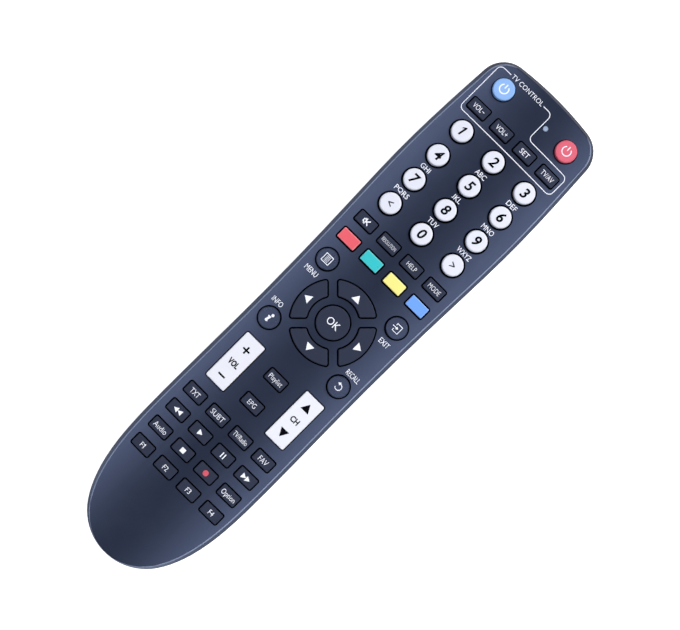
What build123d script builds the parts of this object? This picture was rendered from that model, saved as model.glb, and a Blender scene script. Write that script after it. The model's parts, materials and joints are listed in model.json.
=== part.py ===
from dataclasses import dataclass
from math import atan2, cos, degrees, radians, sin, sqrt
import os

from build123d import *

# A hand-held infrared remote control that lies on its back with the keys up.
# X runs across the remote, +Y points at the infrared window, and Z = 0 is the resting face.

# Plan outline of the case, at the parting line
case_length = 208.0
widest_width = 49.95
widest_from_front = 44.0
flare_width = 48.25
flare_from_front = 76.0
waist_width = 46.9
waist_from_front = 118.0
hip_width = 47.55
hip_from_tail = 46.0
flank_width = 43.6
flank_from_tail = 22.5
tail_radius = 19.55
tail_lean = 34.4
shoulder_width = 47.3
shoulder_lean = 3.3
corner_radius = 9.8
front_radius = 123.5

# Outer shape of the two shells: heights, how far the sides lean in, and the seam between them
parting_z = 11.0
side_break_rise = 5.5
crown_radius = 200.0
side_break_inset = 0.35
face_edge_inset = 2.25
face_front_inset = 2.2
face_tail_inset = 1.6
face_edge_rounding = 0.5
crown_allowance = 3.0
base_inset = 1.2
base_rounding = 5.0
seam_depth = 0.2
seam_rise = 0.25

# Case walls and the lip that locates the two shells
wall = 1.9
face_thickness = 3.0
lip_height = 1.5
lip_inset = 1.15
lip_clearance = 0.1

# Circuit board and rubber sheet
board_thickness = 1.2
board_inset = 2.7
board_front_margin = 9.0
board_tail_margin = 7.0
sheet_thickness = 0.8

# Keys: gap in the case opening, hidden flange, contact foot and travel
key_gap = 0.5
digit_gap = 0.65
power_gap = 0.35
colour_key_gap = 0.55
rocker_gap = 0.38
flange_overlap = 0.42
flange_thickness = 0.7
flange_clearance = 0.15
key_travel = 0.75
foot_gap = 0.05
foot_radius = 1.6
foot_clearance = 0.3
key_edge_rounding = 0.3
digit_edge_rounding = 0.55

# Openings of the round keys and of the rectangular keys
digit_opening = 8.4
power_opening = 8.0
round_opening = 8.15
select_opening = 12.0
bar_key_opening = (8.1, 4.9)
colour_key_opening = (8.15, 5.1)
rocker_opening = (8.7, 19.95)
bar_key_corner = 0.9
rocker_corner = 0.9

# Ring of four arrow keys around the centre key
ring_outer_radius = 14.4
ring_inner_radius = 8.2
ring_bar = 2.5
ring_corner = 1.1

# How far each kind of key stands above the face
digit_proud = 1.5
round_proud = 1.3
bar_proud = 0.7
colour_proud = 0.8
rocker_proud = 0.9
arrow_proud = 0.6

# Key columns
digit_column = 14.1
side_column = 15.72
outer_column = 15.42
inner_column = 5.15
rocker_column = 13.42

# Key rows: the first and last from the ends of the case, and how the rows between share the length
power_from_front = 11.28
functions_from_tail = 34.43
power_to_setup = 9.77
setup_to_digits = 9.11
digit_pitch = 10.85
digits_to_mute = 9.57
mute_to_colour = 7.82
colour_to_menu = 9.5
menu_to_select = 13.25
select_to_info = 13.25
info_to_rockers = 17.57
playlist_above_rockers = 4.98
guide_below_rockers = 5.8
rockers_to_teletext = 16.23
transport_pitch = 7.89

# Rocker keys tilt on a round bead under their middle
rocker_bead_radius = 0.8
rocker_pad_height = 0.15
rocker_ear_width = 0.55
rocker_ear_length = 3.6
rocker_ear_drop = 0.2
rocker_foot_offset = 6.6
rocker_foot_radius = 1.5
rocker_tilt = 3.0

# Battery cells and their compartment
cell_radius = 5.25
cell_length = 44.5
cell_button_radius = 1.9
cell_button_length = 1.2
cell_spacing = 11.2
cell_cover_gap = 0.3
tub_clearance = 0.3
tub_from_tail = 15.5
tub_wall = 1.3
contact_thickness = 0.4
contact_margin = 1.0
spring_length = 5.2
spring_wire_radius = 0.3
spring_coil_radius = 3.4
spring_turns = 3.5
spring_end_gap = 0.05

# Battery cover, the liner over it, its side rails, its grip and the arrow that shows where it slides
cover_thickness = 1.6
cover_side_margin = 3.85
cover_front_margin = 5.0
cover_clearance = 0.25
cover_top_gap = 0.2
liner_thickness = 1.25
liner_margin = 1.6
rail_width = 1.0
rail_thickness = 0.7
rail_bottom_z = 0.8
rail_length = 50.0
grip_ribs = 6
grip_pitch = 2.2
grip_depth = 0.4
grip_width = 1.0
grip_half_length = 9.0
grip_from_front = 7.5
arrow_base = 8.0
arrow_length = 4.5
arrow_behind_grip = 3.5

# Infrared lamp and its window
window_half_width = 8.0
window_height = 5.1
window_clearance = 0.1
window_depth = 2.6
lamp_radius = 2.5
lamp_rim_radius = 2.9
lamp_rim_length = 1.0
lamp_length = 8.6
lamp_x = -1.5
lamp_above_parting = 2.0
lamp_window_gap = 0.3
lamp_notch_clearance = 0.25
lamp_tip_flat = 0.1
lead_size = 0.5
lead_spacing = 2.54
lead_overlap = 2.0

# Indicator light pipe
pipe_x = 4.3
pipe_ahead_of_power_row = 0.7
pipe_radius = 0.85
pipe_clearance = 0.03
pipe_lamp_height = 0.6

# Pins under the face that hold the rubber sheet on the board, and posts that carry the board
pin_radius = 0.7
pin_hole_clearance = 0.2
pin_shoulder_radius = 1.3
pin_below_board = 0.6
tail_pin_drop = 7.5
post_radius = 2.2
post_column = 14.0
post_behind_setup_row = 3.0
post_behind_menu_row = 4.1

# Parts soldered under the board: width, length and height
chip_size = (10.0, 18.0, 2.2)
resonator_size = (3.5, 8.0, 3.0)
transistor_size = (3.0, 1.6, 1.2)
resistor_size = (1.6, 3.2, 0.6)
resistor_count = 4
resistor_pitch = 5.0
capacitor_radius = 3.15
capacitor_height = 7.0
resonator_offset = 11.0
capacitor_offset = 11.0
transistor_offset = 6.0

# Plan outline worked out from its sizes
half_length = case_length / 2
widest_y = half_length - widest_from_front
flare_y = half_length - flare_from_front
waist_y = half_length - waist_from_front
hip_y = -half_length + hip_from_tail
flank_y = -half_length + flank_from_tail
tail_centre_y = -half_length + tail_radius
front_centre_y = half_length - front_radius
corner_centre_x = shoulder_width / 2 - corner_radius * cos(radians(shoulder_lean))
corner_centre_y = front_centre_y + sqrt((front_radius - corner_radius) ** 2 - corner_centre_x**2)
corner_angle = degrees(atan2(corner_centre_y - front_centre_y, corner_centre_x))

# Heights worked out upwards, from the cover under the cells to the face over the keys
cell_z = cover_thickness + cell_cover_gap + cell_radius
tub_ceiling_z = cell_z + cell_radius + tub_clearance
board_bottom_z = tub_ceiling_z + tub_wall
board_top_z = board_bottom_z + board_thickness
sheet_top_z = board_top_z + sheet_thickness
foot_bottom_z = board_top_z + foot_gap + key_travel
flange_bottom_z = sheet_top_z + flange_clearance + key_travel
face_underside_z = flange_bottom_z + flange_thickness
face_z = face_underside_z + face_thickness
side_break_z = parting_z + side_break_rise
window_top_z = parting_z + window_height
lamp_axis_z = parting_z + lamp_above_parting
rocker_pad_top_z = sheet_top_z + rocker_pad_height
rocker_pivot_z = rocker_pad_top_z + foot_gap + rocker_bead_radius
rocker_foot_drop = (rocker_foot_offset + rocker_foot_radius) * sin(radians(rocker_tilt))
rocker_foot_bottom_z = board_top_z + foot_gap + rocker_foot_drop

# Key rows worked out from the front end, with their gaps spread over the length between the ends
upper_gaps = power_to_setup + setup_to_digits + 3 * digit_pitch + digits_to_mute + mute_to_colour
middle_gaps = colour_to_menu + menu_to_select + select_to_info + info_to_rockers
lower_gaps = rockers_to_teletext + 3 * transport_pitch
rows_length = case_length - power_from_front - functions_from_tail
spread = rows_length / (upper_gaps + middle_gaps + lower_gaps)
digit_step = spread * digit_pitch
transport_step = spread * transport_pitch
power_row = half_length - power_from_front
setup_row = power_row - spread * power_to_setup
digit_row = setup_row - spread * setup_to_digits
mute_row = digit_row - 3 * digit_step - spread * digits_to_mute
colour_row = mute_row - spread * mute_to_colour
menu_row = colour_row - spread * colour_to_menu
select_row = menu_row - spread * menu_to_select
info_row = select_row - spread * select_to_info
rocker_row = info_row - spread * info_to_rockers
playlist_row = rocker_row + playlist_above_rockers
guide_row = rocker_row - guide_below_rockers
teletext_row = rocker_row - spread * rockers_to_teletext
function_row = teletext_row - 3 * transport_step
pipe_y = power_row + pipe_ahead_of_power_row

# Pins, posts and board ends worked out from the key rows and the case
pin_places = [
    (-digit_column / 2, digit_row - digit_step / 2),
    (digit_column / 2, digit_row - digit_step / 2),
    (-digit_column / 2, digit_row - 5 * digit_step / 2),
    (digit_column / 2, digit_row - 5 * digit_step / 2),
    (-rocker_column / 2, rocker_row),
    (rocker_column / 2, rocker_row),
    (-outer_column, function_row - tail_pin_drop),
    (outer_column, function_row - tail_pin_drop),
]
post_places = [
    (side * post_column, row)
    for side in (-1, 1)
    for row in (setup_row - post_behind_setup_row, menu_row - post_behind_menu_row)
]
board_front_y = half_length - board_front_margin
board_tail_y = -half_length + board_tail_margin
lamp_tip_y = half_length - window_depth - lamp_window_gap
lamp_back_y = lamp_tip_y - lamp_length

# Battery compartment and cover worked out from the cells and the tail end
cell_x = cell_spacing / 2
tub_length = cell_length + spring_length + 2 * contact_thickness
tub_tail_y = -half_length + tub_from_tail
tub_front_y = tub_tail_y + tub_length
tub_half_width = cell_x + cell_radius + tub_clearance
cover_half_width = tub_half_width + cover_side_margin
cover_front_y = tub_front_y + cover_front_margin
liner_inset = cover_thickness + cover_clearance
last_rib_y = cover_front_y - grip_from_front - (grip_ribs - 1) * grip_pitch
arrow_base_y = last_rib_y - arrow_behind_grip


def case_outline(z, inset, front_inset=None, tail_inset=None):
    """Plan outline of the case at height z, drawn inset from the parting line's outline."""
    front_shift = inset - (front_inset or inset)
    tail_shift = (tail_inset or inset) - inset
    corner_centre = (corner_centre_x, corner_centre_y + front_shift)
    front_centre = (0, front_centre_y + front_shift)
    tail_centre = (0, tail_centre_y + tail_shift)
    with BuildSketch(Plane.XY.offset(z)) as outline:
        with BuildLine():
            tail = CenterArc(tail_centre, tail_radius - inset, -90, 90 - tail_lean)
            corner = CenterArc(
                corner_centre, corner_radius - inset, shoulder_lean, corner_angle - shoulder_lean
            )
            Spline(
                tail @ 1,
                (flank_width / 2 - inset, flank_y),
                (hip_width / 2 - inset, hip_y),
                (waist_width / 2 - inset, waist_y),
                (flare_width / 2 - inset, flare_y),
                (widest_width / 2 - inset, widest_y),
                corner @ 0,
                tangents=[tail % 1, corner % 0],
                tangent_scalars=[1, 1],
            )
            CenterArc(front_centre, front_radius - inset, corner_angle, 90 - corner_angle)
            mirror(about=Plane.YZ)
        make_face()
    return outline.sketch


def lower_hull(inset):
    """Solid inside the lower shell's outer surface, inset all over."""
    with BuildPart() as hull:
        add(case_outline(inset, base_inset + inset))
        add(case_outline(parting_z - seam_rise, inset))
        loft(ruled=True)
        add(case_outline(parting_z - seam_rise, inset))
        add(case_outline(parting_z, inset + seam_depth))
        loft(ruled=True)
        fillet(hull.faces().sort_by(Axis.Z)[0].edges(), base_rounding - inset)
    return hull.part


def crown(height_above_face):
    """Large cylinder along Y whose top is the crowned face, raised by a height."""
    with BuildPart() as cylinder:
        with Locations((0, 0, face_z - crown_radius)):
            Cylinder(crown_radius + height_above_face, 2 * case_length, rotation=(90, 0, 0))
    return cylinder.part


def upper_hull():
    """Solid inside the upper shell's outer surface, with its crowned face."""
    rise = (face_z - side_break_z + crown_allowance) / (face_z - side_break_z)
    edge_inset = side_break_inset + (face_edge_inset - side_break_inset) * rise
    front_inset = side_break_inset + (face_front_inset - side_break_inset) * rise
    tail_inset = side_break_inset + (face_tail_inset - side_break_inset) * rise
    with BuildPart() as hull:
        add(case_outline(parting_z, seam_depth))
        add(case_outline(parting_z + seam_rise, 0))
        loft(ruled=True)
        add(case_outline(parting_z + seam_rise, 0))
        add(case_outline(side_break_z, side_break_inset))
        loft(ruled=True)
        add(case_outline(side_break_z, side_break_inset))
        add(case_outline(face_z + crown_allowance, edge_inset, front_inset, tail_inset))
        loft(ruled=True)
        add(crown(0), mode=Mode.INTERSECT)
        top_face = hull.faces().sort_by(Axis.Z)[-1]
        fillet(top_face.edges(), face_edge_rounding)
    return hull.part


@dataclass
class Key:
    """One key: its opening in the face, where it sits, and how far it stands proud."""

    name: str
    x: float
    y: float
    kind: str
    size: tuple
    proud: float
    gap: float = key_gap
    rounding: float = key_edge_rounding
    turn: float = 0.0

    def opening(self, grow=0.0):
        """The opening's outline at the origin, grown or shrunk all round."""
        with BuildSketch() as sketch:
            if self.kind == "round":
                Circle(self.size[0] / 2 + grow)
            elif self.kind == "bar":
                width, height, corner = self.size
                RectangleRounded(width + 2 * grow, height + 2 * grow, corner + grow)
            else:
                outer, inner, bar, corner = self.size
                apex = (bar - 2 * grow) / sqrt(2)
                inner_reach = ring_corner_reach(inner - grow, apex)
                outer_reach = ring_corner_reach(outer + grow, apex)
                with BuildLine():
                    side = Line((inner_reach, inner_reach + apex), (outer_reach, outer_reach + apex))
                    other = Line((-outer_reach, outer_reach + apex), (-inner_reach, inner_reach + apex))
                    ThreePointArc(side @ 1, (0, outer + grow), other @ 0)
                    ThreePointArc(other @ 1, (0, inner - grow), side @ 0)
                make_face()
                fillet(sketch.vertices(), corner + grow)
        return sketch.sketch

    def plane(self, z):
        turn = radians(self.turn)
        return Plane((self.x, self.y, z), x_dir=(cos(turn), sin(turn), 0), z_dir=(0, 0, 1))

    def feet(self):
        """Centres of the contact feet, in the remote's frame."""
        if self.kind == "arrow":
            reach = (self.size[0] + self.size[1]) / 2
            turn = radians(self.turn)
            return [(self.x - reach * sin(turn), self.y + reach * cos(turn))]
        if self.name in ROCKERS:
            return [(self.x, self.y + side * rocker_foot_offset) for side in (-1, 1)]
        return [(self.x, self.y)]

    def foot_radius(self):
        return rocker_foot_radius if self.name in ROCKERS else foot_radius


def ring_corner_reach(radius, apex):
    """Sideways reach of an arrow key's corner that lies at a radius on its 45 degree side."""
    return (sqrt(2 * radius**2 - apex**2) - apex) / 2


ROCKERS = ("volume_rocker", "channel_rocker")
OUTER_AND_INNER = (-outer_column, -inner_column, inner_column, outer_column)


def round_key(name, x, y, opening, proud, gap=key_gap, rounding=key_edge_rounding):
    return Key(name, x, y, "round", (opening,), proud, gap, rounding)


def bar_keys(names, columns, y):
    size = (*bar_key_opening, bar_key_corner)
    return [Key(name, x, y, "bar", size, bar_proud) for name, x in zip(names, columns)]


def digit_keys():
    """Twelve round keys in four rows of three."""
    rows = (("key_1", "key_2", "key_3"), ("key_4", "key_5", "key_6"))
    rows += (("key_7", "key_8", "key_9"), ("previous_key", "key_0", "next_key"))
    return [
        round_key(
            name,
            (column - 1) * digit_column,
            digit_row - row * digit_step,
            digit_opening,
            digit_proud,
            digit_gap,
            digit_edge_rounding,
        )
        for row, names in enumerate(rows)
        for column, name in enumerate(names)
    ]


def power_keys():
    columns = {"tv_power_key": -digit_column, "main_power_key": digit_column}
    return [
        round_key(name, x, power_row, power_opening, digit_proud, power_gap, digit_edge_rounding)
        for name, x in columns.items()
    ]


def colour_keys():
    size = (*colour_key_opening, bar_key_corner)
    names = ("red_key", "green_key", "yellow_key", "blue_key")
    return [
        Key(name, x, colour_row, "bar", size, colour_proud, colour_key_gap)
        for name, x in zip(names, OUTER_AND_INNER)
    ]


def arrow_keys():
    size = (ring_outer_radius, ring_inner_radius, ring_bar, ring_corner)
    turns = {"up_key": 0, "left_key": 90, "down_key": 180, "right_key": 270}
    return [
        Key(name, 0, select_row, "arrow", size, arrow_proud, turn=turn)
        for name, turn in turns.items()
    ]


def rocker_keys():
    size = (*rocker_opening, rocker_corner)
    columns = (-rocker_column, rocker_column)
    return [
        Key(name, x, rocker_row, "bar", size, rocker_proud, rocker_gap)
        for name, x in zip(ROCKERS, columns)
    ]


# Two rows of four small keys: the television's at the front, the function keys at the tail
SETUP_KEYS = bar_keys(
    ("tv_volume_down", "tv_volume_up", "tv_setup", "tv_input"), OUTER_AND_INNER, setup_row
)
FUNCTION_KEYS = bar_keys(
    ("function_1", "function_2", "function_3", "function_4"), OUTER_AND_INNER, function_row
)

SINGLE_KEYS = [
    *power_keys(),
    *digit_keys(),
    *bar_keys(("mute_key", "resolution_key", "help_key", "mode_key"), OUTER_AND_INNER, mute_row),
    *colour_keys(),
    round_key("menu_key", -side_column, menu_row, round_opening, round_proud),
    round_key("exit_key", side_column, menu_row, round_opening, round_proud),
    round_key("info_key", -side_column, info_row, round_opening, round_proud),
    round_key("recall_key", side_column, info_row, round_opening, round_proud),
    round_key("select_key", 0, select_row, select_opening, arrow_proud),
    *arrow_keys(),
    *bar_keys(("playlist_key",), (0,), playlist_row),
    *bar_keys(("guide_key",), (0,), guide_row),
    *bar_keys(
        ("teletext_key", "subtitle_key", "tv_radio_key", "favourites_key"),
        OUTER_AND_INNER,
        teletext_row,
    ),
    *bar_keys(
        ("rewind_key", "play_key", "pause_key", "fast_forward_key"),
        OUTER_AND_INNER,
        teletext_row - transport_step,
    ),
    *bar_keys(
        ("audio_key", "stop_key", "record_key", "options_key"),
        OUTER_AND_INNER,
        teletext_row - 2 * transport_step,
    ),
]
ROCKER_KEYS = rocker_keys()
ALL_KEYS = SINGLE_KEYS + ROCKER_KEYS + SETUP_KEYS + FUNCTION_KEYS


def pressed_key(key):
    """A key cap with the flange that keeps it in and the foot that meets the board."""
    with BuildPart() as cap:
        with BuildSketch(key.plane(flange_bottom_z)):
            add(key.opening(-key.gap))
        extrude(amount=face_z)
        add(crown(key.proud), mode=Mode.INTERSECT)
        fillet(cap.faces().sort_by(Axis.Z)[-1].edges(), key.rounding)
        with BuildSketch(key.plane(flange_bottom_z)):
            add(key.opening(flange_overlap))
        extrude(amount=flange_thickness)
        with BuildSketch(Plane.XY.offset(foot_bottom_z)):
            with Locations(*key.feet()):
                Circle(key.foot_radius())
        extrude(amount=flange_bottom_z - foot_bottom_z)
    return cap.part


def rocker(key):
    """A long key that tilts both ways on a bead, with a foot under each end."""
    ear_top_z = face_underside_z - rocker_ear_drop
    with BuildPart() as cap:
        with BuildSketch(key.plane(rocker_pivot_z)):
            add(key.opening(-key.gap))
        extrude(amount=face_z)
        add(crown(key.proud), mode=Mode.INTERSECT)
        fillet(cap.faces().sort_by(Axis.Z)[-1].edges(), key.rounding)
        with BuildSketch(key.plane(rocker_pivot_z)):
            Rectangle(key.size[0] + 2 * rocker_ear_width, rocker_ear_length)
        extrude(amount=ear_top_z - rocker_pivot_z)
        with Locations((key.x, key.y, rocker_pivot_z)):
            Cylinder(rocker_bead_radius, key.size[0] - 2 * key.gap, rotation=(0, 90, 0))
        with BuildSketch(Plane.XY.offset(rocker_foot_bottom_z)):
            with Locations(*key.feet()):
                Circle(rocker_foot_radius)
        extrude(amount=rocker_pivot_z - rocker_foot_bottom_z)
    return cap.part


def write(part, name):
    part.label = name
    export_step(part, f"parts/{name}.step")


def key_row(name, keys):
    with BuildPart() as row:
        for key in keys:
            add(pressed_key(key))
    write(row.part, name)


os.makedirs("parts", exist_ok=True)

# Upper shell: crowned face with an opening for every key, the indicator and the window
upper_outer = upper_hull()
with BuildPart() as top_case:
    add(upper_outer)
    with BuildSketch(Plane.XY.offset(parting_z)):
        add(case_outline(0, wall))
    extrude(amount=face_underside_z - parting_z, mode=Mode.SUBTRACT)
    with BuildSketch(Plane.XY.offset(parting_z)):
        add(case_outline(0, lip_inset - lip_clearance))
    extrude(amount=lip_height + lip_clearance, mode=Mode.SUBTRACT)
    with BuildSketch(Plane.XY.offset(face_underside_z)):
        for key in ALL_KEYS:
            with Locations(Location((key.x, key.y, 0), (0, 0, key.turn))):
                add(key.opening())
        with Locations((pipe_x, pipe_y)):
            Circle(pipe_radius + pipe_clearance)
    extrude(amount=face_z, mode=Mode.SUBTRACT)
    with BuildSketch(Plane.XY.offset(sheet_top_z)):
        with Locations(*pin_places):
            Circle(pin_shoulder_radius)
    extrude(amount=face_underside_z - sheet_top_z)
    with BuildSketch(Plane.XY.offset(board_bottom_z - pin_below_board)):
        with Locations(*pin_places):
            Circle(pin_radius)
    extrude(amount=sheet_top_z - board_bottom_z + pin_below_board)
    with Locations((0, half_length, parting_z)):
        Box(
            2 * window_half_width,
            2 * corner_radius,
            window_top_z - parting_z,
            align=(Align.CENTER, Align.CENTER, Align.MIN),
            mode=Mode.SUBTRACT,
        )
write(top_case.part, "top_case")

# Lower shell: outer skin, battery tub, liner behind the cover, board posts and lip
lower_outer = lower_hull(0)
liner_space = lower_hull(liner_inset)
liner_inner = lower_hull(liner_inset + liner_thickness)
with BuildPart() as cover_zone:
    with Locations((0, cover_front_y, 0)):
        Box(
            2 * (cover_half_width + cover_clearance),
            case_length,
            2 * parting_z,
            align=(Align.CENTER, Align.MAX, Align.CENTER),
        )
with BuildPart() as liner:
    add(liner_space)
    add(liner_inner, mode=Mode.SUBTRACT)
    with Locations((0, cover_front_y + liner_margin, 0)):
        Box(
            2 * (cover_half_width + cover_clearance + liner_margin),
            case_length,
            2 * parting_z,
            align=(Align.CENTER, Align.MAX, Align.CENTER),
            mode=Mode.INTERSECT,
        )
with BuildPart() as cover_void:
    add(lower_outer)
    add(cover_zone.part, mode=Mode.INTERSECT)
    add(liner_space, mode=Mode.SUBTRACT)
with BuildPart() as bottom_case:
    add(lower_outer)
    add(lower_hull(wall), mode=Mode.SUBTRACT)
    with BuildSketch(Plane.XY.offset(parting_z)):
        add(case_outline(0, lip_inset))
        add(case_outline(0, wall), mode=Mode.SUBTRACT)
        with Locations((0, half_length)):
            Rectangle(2 * (window_half_width + window_clearance), 2 * corner_radius, mode=Mode.SUBTRACT)
        with Locations((0, -half_length)):
            Rectangle(2 * (cover_half_width + cover_clearance), 2 * tail_radius, mode=Mode.SUBTRACT)
    extrude(amount=lip_height)
    add(liner.part)
    with Locations((0, tub_front_y + tub_wall, liner_inset)):
        Box(
            2 * (tub_half_width + tub_wall),
            tub_length + 2 * tub_wall,
            board_bottom_z - liner_inset,
            align=(Align.CENTER, Align.MAX, Align.MIN),
        )
    with BuildSketch(Plane.XY.offset(wall)):
        with Locations(*post_places):
            Circle(post_radius)
    extrude(amount=board_bottom_z - wall)
    add(cover_void.part, mode=Mode.SUBTRACT)
    with Locations((0, tub_front_y, 0)):
        Box(
            2 * tub_half_width,
            tub_length,
            tub_ceiling_z,
            align=(Align.CENTER, Align.MAX, Align.MIN),
            mode=Mode.SUBTRACT,
        )
    with Locations((0, cover_front_y, rail_bottom_z - cover_clearance / 2)):
        Box(
            2 * (cover_half_width + rail_width + cover_clearance),
            case_length,
            liner_inset - rail_bottom_z + cover_clearance / 2,
            align=(Align.CENTER, Align.MAX, Align.MIN),
            mode=Mode.SUBTRACT,
        )
write(bottom_case.part, "bottom_case")

# Battery cover: slides off over the tail on two side rails
with BuildPart() as battery_cover:
    add(lower_outer)
    with Locations((0, cover_front_y - cover_clearance, 0)):
        Box(
            2 * cover_half_width,
            case_length,
            parting_z - cover_top_gap,
            align=(Align.CENTER, Align.MAX, Align.MIN),
            mode=Mode.INTERSECT,
        )
    add(lower_hull(cover_thickness), mode=Mode.SUBTRACT)
    with Locations((0, cover_front_y - cover_clearance, rail_bottom_z)):
        Box(
            2 * (cover_half_width + rail_width),
            rail_length,
            rail_thickness,
            align=(Align.CENTER, Align.MAX, Align.MIN),
        )
    with Locations(
        *((0, cover_front_y - grip_from_front - rib * grip_pitch, 0) for rib in range(grip_ribs))
    ):
        Box(2 * grip_half_length, grip_width, 2 * grip_depth, mode=Mode.SUBTRACT)
    with BuildSketch():
        Polygon(
            (-arrow_base / 2, arrow_base_y),
            (arrow_base / 2, arrow_base_y),
            (0, arrow_base_y - arrow_length),
            align=None,
        )
    extrude(amount=grip_depth, mode=Mode.SUBTRACT)
write(battery_cover.part, "battery_cover")


def board_outline():
    """Plan of the board and its rubber sheet, with the pin holes and the notch for the lamp."""
    notch_half_width = lamp_rim_radius + lamp_notch_clearance
    notch_depth = board_front_y - lamp_back_y + lamp_notch_clearance
    with BuildSketch() as outline:
        add(case_outline(0, board_inset))
        with Locations((0, (board_front_y + board_tail_y) / 2)):
            Rectangle(widest_width, board_front_y - board_tail_y, mode=Mode.INTERSECT)
        with Locations((lamp_x, board_front_y)):
            Rectangle(2 * notch_half_width, 2 * notch_depth, mode=Mode.SUBTRACT)
        with Locations(*pin_places):
            Circle(pin_radius + pin_hole_clearance, mode=Mode.SUBTRACT)
    return outline.sketch


# Circuit board, held on the tub and the posts
with BuildPart() as circuit_board:
    with BuildSketch(Plane.XY.offset(board_bottom_z)):
        add(board_outline())
    extrude(amount=board_thickness)
write(circuit_board.part, "circuit_board")

# Rubber sheet on the board, with an opening for every contact foot
with BuildPart() as keypad_membrane:
    with BuildSketch(Plane.XY.offset(board_top_z)):
        add(board_outline())
        with Locations((pipe_x, pipe_y)):
            Circle(pipe_radius + foot_clearance, mode=Mode.SUBTRACT)
        for key in ALL_KEYS:
            with Locations(*key.feet()):
                Circle(key.foot_radius() + foot_clearance, mode=Mode.SUBTRACT)
    extrude(amount=sheet_thickness)
    with BuildSketch(Plane.XY.offset(sheet_top_z)):
        for key in ROCKER_KEYS:
            with Locations((key.x, key.y)):
                Rectangle(key.size[0] - 2 * key.gap, 2 * rocker_bead_radius)
    extrude(amount=rocker_pad_top_z - sheet_top_z)
write(keypad_membrane.part, "keypad_membrane")

for key in SINGLE_KEYS:
    write(pressed_key(key), key.name)
for key in ROCKER_KEYS:
    write(rocker(key), key.name)
key_row("tv_setup_keys", SETUP_KEYS)
key_row("function_keys", FUNCTION_KEYS)

# Infrared window in the front wall of the upper shell
with BuildPart() as ir_window:
    add(upper_outer)
    with Locations((0, half_length, parting_z)):
        Box(
            2 * (window_half_width - window_clearance),
            2 * corner_radius,
            window_top_z - window_clearance - parting_z,
            align=(Align.CENTER, Align.CENTER, Align.MIN),
            mode=Mode.INTERSECT,
        )
    with BuildSketch(Plane.XY.offset(parting_z)):
        add(case_outline(0, window_depth))
    extrude(amount=window_top_z - parting_z, mode=Mode.SUBTRACT)
write(ir_window.part, "ir_window")

# Infrared lamp that looks out through the window, with two square leads to the board
lamp_plane = Plane((lamp_x, lamp_back_y, lamp_axis_z), x_dir=(1, 0, 0), z_dir=(0, 1, 0))
with BuildPart() as ir_emitter:
    with BuildSketch(lamp_plane):
        Circle(lamp_radius)
    extrude(amount=lamp_length)
    fillet(ir_emitter.faces().sort_by(Axis.Y)[-1].edges(), lamp_radius - lamp_tip_flat)
    with BuildSketch(lamp_plane):
        Circle(lamp_rim_radius)
    extrude(amount=lamp_rim_length)
    for side in (-1, 1):
        lead_x = lamp_x + side * lead_spacing / 2
        with Locations((lead_x, lamp_back_y, lamp_axis_z)):
            Box(lead_size, lead_overlap, lead_size, align=(Align.CENTER, Align.MAX, Align.CENTER))
        with Locations((lead_x, lamp_back_y - lead_overlap, lamp_axis_z)):
            Box(
                lead_size,
                lead_size,
                board_bottom_z - lamp_axis_z,
                align=(Align.CENTER, Align.MIN, Align.MIN),
            )
write(ir_emitter.part, "ir_emitter")

# Light pipe that carries the indicator's light to the face
with BuildPart() as indicator_light_pipe:
    with BuildSketch(Plane.XY.offset(board_top_z + pipe_lamp_height)):
        with Locations((pipe_x, pipe_y)):
            Circle(pipe_radius)
    extrude(amount=face_z)
    add(crown(0), mode=Mode.INTERSECT)
write(indicator_light_pipe.part, "indicator_light_pipe")

# Soldered parts: controller, resonator, capacitor, transistor, resistors and the indicator lamp
under_board = (Align.CENTER, Align.CENTER, Align.MAX)
chip_row = digit_row - 2 * digit_step
with BuildPart() as board_components:
    with Locations((0, chip_row, board_bottom_z)):
        Box(*chip_size, align=under_board)
    with Locations((resonator_offset, chip_row, board_bottom_z)):
        Box(*resonator_size, align=under_board)
    with Locations((-capacitor_offset, power_row, board_bottom_z)):
        Cylinder(capacitor_radius, capacitor_height, align=under_board)
    with Locations((transistor_offset, setup_row, board_bottom_z)):
        Box(*transistor_size, align=under_board)
    with Locations((0, mute_row, board_bottom_z)):
        with GridLocations(resistor_pitch, 1, resistor_count, 1):
            Box(*resistor_size, align=under_board)
    with Locations((pipe_x, pipe_y, board_top_z)):
        Cylinder(pipe_radius, pipe_lamp_height, align=(Align.CENTER, Align.CENTER, Align.MIN))
write(board_components.part, "board_components")

# Two cells side by side, head to tail
with BuildPart() as batteries:
    for side in (-1, 1):
        button_y = tub_front_y - contact_thickness if side < 0 else tub_tail_y + contact_thickness
        cell_plane = Plane((side * cell_x, button_y, cell_z), x_dir=(1, 0, 0), z_dir=(0, side, 0))
        with BuildSketch(cell_plane.offset(cell_button_length)):
            Circle(cell_radius)
        extrude(amount=cell_length - cell_button_length)
        with BuildSketch(cell_plane):
            Circle(cell_button_radius)
        extrude(amount=cell_button_length)
write(batteries.part, "batteries")


def contact_spring(side):
    """Coil that stands between the tub's end plate and the cell's flat end."""
    plate_y = tub_tail_y + contact_thickness if side < 0 else tub_front_y - contact_thickness
    coil_start = plate_y - side * (spring_wire_radius + spring_end_gap)
    coil_height = spring_length - 2 * (spring_wire_radius + spring_end_gap)
    with BuildPart() as coil:
        with BuildLine():
            turns = Helix(
                coil_height / spring_turns,
                coil_height,
                spring_coil_radius,
                center=(side * cell_x, coil_start, cell_z),
                direction=(0, -side, 0),
            )
        with BuildSketch(Plane(turns @ 0, z_dir=turns % 0)):
            Circle(spring_wire_radius)
        sweep(is_frenet=True)
    return coil.part


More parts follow.
